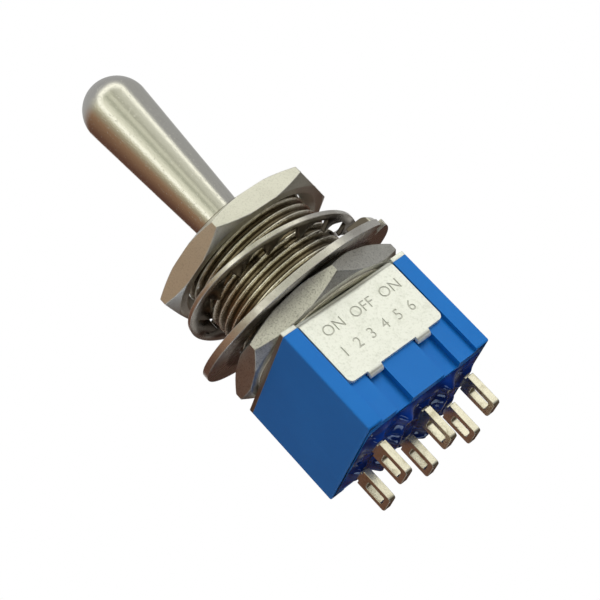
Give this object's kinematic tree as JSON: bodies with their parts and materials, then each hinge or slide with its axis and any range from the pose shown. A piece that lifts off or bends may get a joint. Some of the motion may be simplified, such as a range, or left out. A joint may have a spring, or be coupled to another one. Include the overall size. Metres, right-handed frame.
{
  "type": "toggle switch",
  "caption": "Miniature panel-mount toggle switch with a bat lever, threaded bushing, two nuts, two washers, a blue case and flat solder terminals.",
  "frame": {"origin": "on the bushing's axis, at the top face of the steel cover, where the panel side of the case begins", "axes": "+Z out along the bushing and the upright lever, X along the lever's throw and the row of three terminals, +Y from the front pole to the back pole"},
  "size_m": [0.019, 0.0189, 0.0431],
  "materials": {
    "case_blue": "satin moulded plastic",
    "cover_steel": "bright tin-plated steel, fine grain",
    "bushing_nickel": "nickel-plated brass, polished",
    "lever_nickel": "nickel-plated brass, satin",
    "nut_nickel": "nickel-plated, barrel-finished matte",
    "washer_steel": "nickel-plated spring steel",
    "contact_silver": "silver-plated, slightly tarnished",
    "resin_blue": "glossy potting resin",
    "nylon_white": "natural nylon",
    "pin_steel": "ground steel"
  },
  "bodies": {
    "housing": {"case": "case_blue", "cover": "cover_steel", "bushing": "bushing_nickel", "resin_seal": "resin_blue", "lock_washer": "washer_steel", "locating_washer": "washer_steel", "terminal_front_left": "contact_silver", "terminal_front_centre": "contact_silver", "terminal_front_right": "contact_silver", "contact_rivet_front_left": "contact_silver", "contact_rivet_front_right": "contact_silver", "terminal_back_left": "contact_silver", "terminal_back_centre": "contact_silver", "terminal_back_right": "contact_silver", "contact_rivet_back_left": "contact_silver", "contact_rivet_back_right": "contact_silver"},
    "lever": {"lever": "lever_nickel", "pivot_pin": "pin_steel", "plunger_holder": "nylon_white", "spring_front": "pin_steel", "spring_back": "pin_steel"},
    "plunger_front": {"plunger_front": "contact_silver"},
    "plunger_back": {"plunger_back": "contact_silver"},
    "rocker_front": {"rocker_front": "contact_silver"},
    "rocker_back": {"rocker_back": "contact_silver"},
    "upper_nut": {"upper_nut": "nut_nickel"},
    "lower_nut": {"lower_nut": "nut_nickel"}
  },
  "joints": [
    {"name": "lever_tilt", "type": "hinge", "parent": "housing", "child": "lever", "pos_m": [0, 0, 0.0064], "axis": [0, 1, 0], "range_deg": [-12, 12]},
    {"name": "rocker_front_rock", "type": "hinge", "parent": "housing", "child": "rocker_front", "pos_m": [0, -0.0024, -0.00619], "axis": [0, 1, 0], "range_deg": [-7, 7]},
    {"name": "plunger_front_slide", "type": "slide", "parent": "lever", "child": "plunger_front", "axis": [0, 0, 1], "range_m": [0, 0.0004], "stiffness_N_per_m": 50, "springref_m": -0.001, "deforming": ["spring_front"]},
    {"name": "rocker_back_rock", "type": "hinge", "parent": "housing", "child": "rocker_back", "pos_m": [0, 0.0024, -0.00619], "axis": [0, 1, 0], "range_deg": [-7, 7]},
    {"name": "plunger_back_slide", "type": "slide", "parent": "lever", "child": "plunger_back", "axis": [0, 0, 1], "range_m": [0, 0.0004], "stiffness_N_per_m": 50, "springref_m": -0.001, "deforming": ["spring_back"]},
    {"name": "upper_nut_turn", "type": "hinge", "parent": "housing", "child": "upper_nut", "pos_m": [0, 0, 0.00983], "axis": [0, 0, 1], "continuous": true},
    {"name": "lower_nut_turn", "type": "hinge", "parent": "housing", "child": "lower_nut", "pos_m": [0, 0, 0.00109], "axis": [0, 0, 1], "continuous": true}
  ],
  "couplings": [
    {"joint": "rocker_front_rock", "follows": "lever_tilt", "ratio": -0.5833},
    {"joint": "rocker_back_rock", "follows": "lever_tilt", "ratio": -0.5833}
  ]
}
